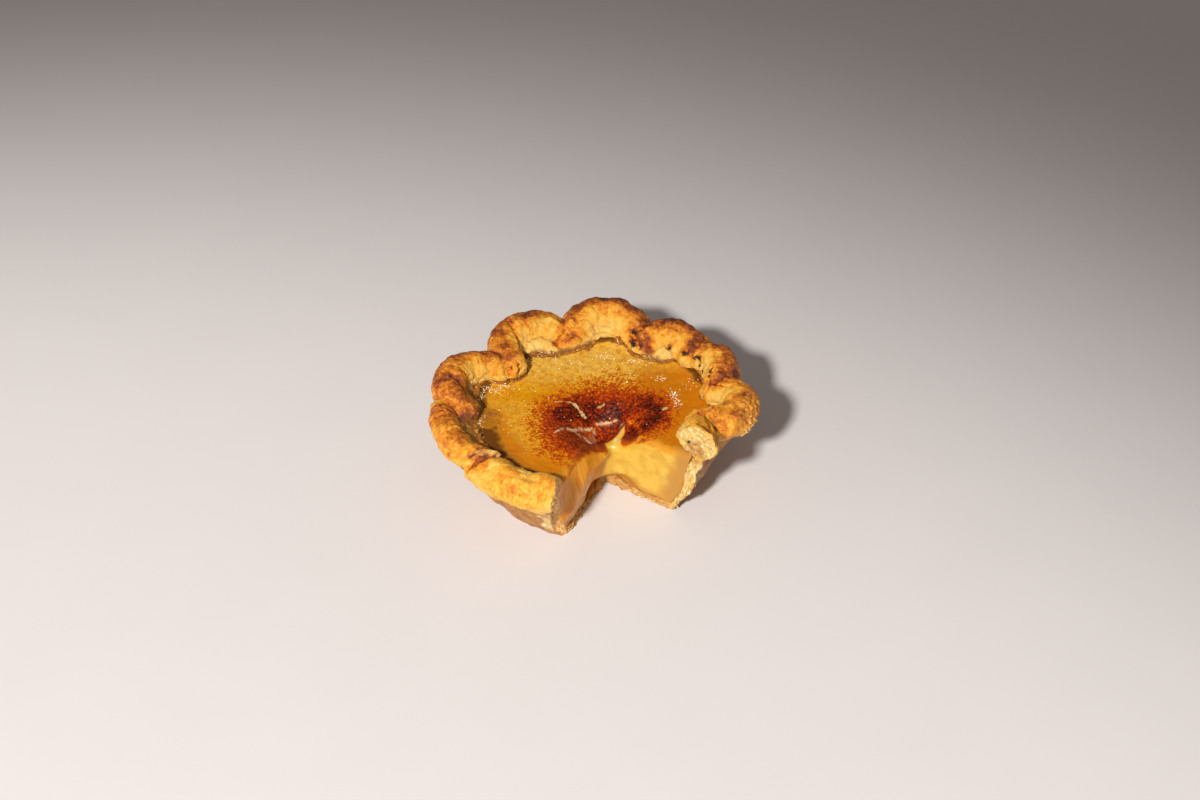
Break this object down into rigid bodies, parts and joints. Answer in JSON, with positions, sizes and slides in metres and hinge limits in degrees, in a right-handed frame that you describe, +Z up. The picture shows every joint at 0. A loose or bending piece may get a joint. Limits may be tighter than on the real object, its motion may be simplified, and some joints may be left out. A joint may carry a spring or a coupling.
{
  "type": "creme brulee pie",
  "caption": "Deep fluted custard pie with a burnt-sugar top and one slice cut out, showing crust and filling.",
  "frame": {"origin": "on the ground under the middle of the pie's footprint", "axes": "+Z up, the cut-out slice faces -Y, +X to the right of it"},
  "size_m": [0.1457, 0.1326, 0.0546],
  "materials": {
    "crust": "baked, matte, golden brown",
    "custard": "soft, moist, pale yellow",
    "caramel": "glassy burnt sugar"
  },
  "bodies": {
    "root": {"crust": "crust", "custard": "custard", "caramel": "caramel"}
  },
  "joints": []
}
